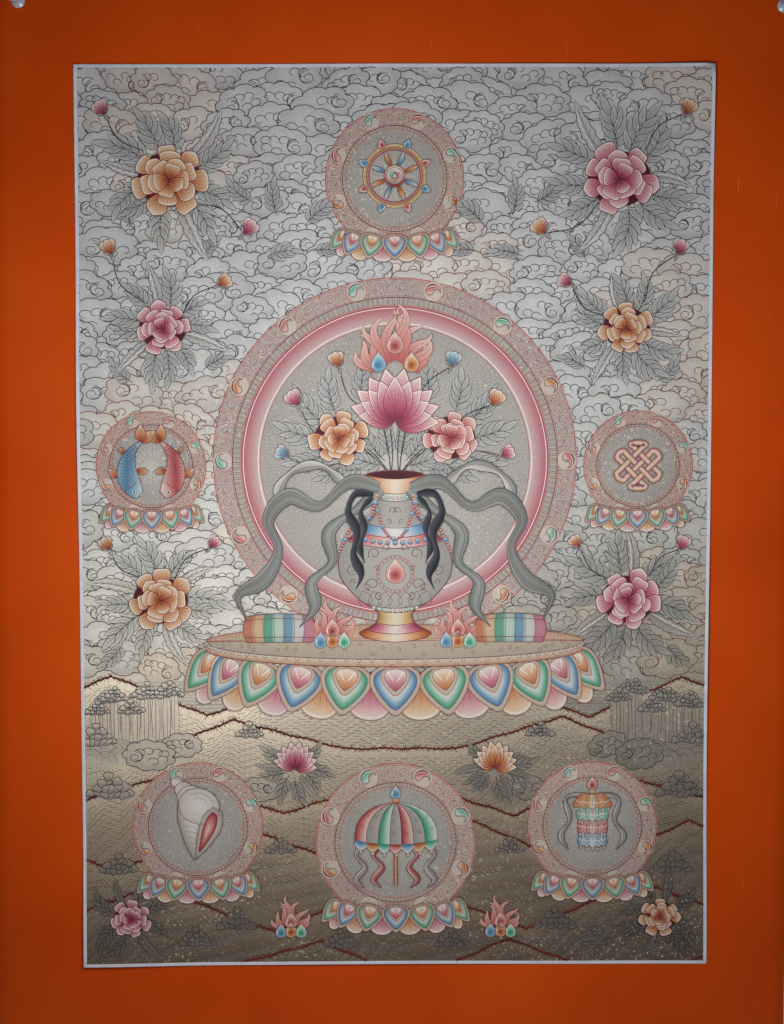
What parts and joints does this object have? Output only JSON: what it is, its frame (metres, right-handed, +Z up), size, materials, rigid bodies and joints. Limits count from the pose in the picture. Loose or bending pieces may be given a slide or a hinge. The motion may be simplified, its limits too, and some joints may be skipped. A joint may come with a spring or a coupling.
{
  "type": "thangka painting on a pinned mount sheet",
  "caption": "Painted cotton canvas with a narrow white margin, laid on a larger smooth orange mount sheet that hangs flat on a wall from push pins in its top corners.",
  "frame": {"origin": "on the back of the mount sheet, midway across it and just below the push pins, where it lies flat on the wall", "axes": "+Z up, the way the sheets hang; +Y into the wall; +X to the right as seen from the front"},
  "size_m": [0.634, 0.0248, 0.845],
  "materials": {
    "mount_sheet": "smooth, satin",
    "painted_canvas": "primed, painted, matt with a faint sheen",
    "pin_plastic": "gloss",
    "pin_steel": "bright"
  },
  "bodies": {
    "root": {"mount_sheet": "mount_sheet", "painted_canvas": "painted_canvas", "pin_head_left": "pin_plastic", "pin_head_right": "pin_plastic", "pin_needle_left": "pin_steel", "pin_needle_right": "pin_steel"}
  },
  "joints": []
}
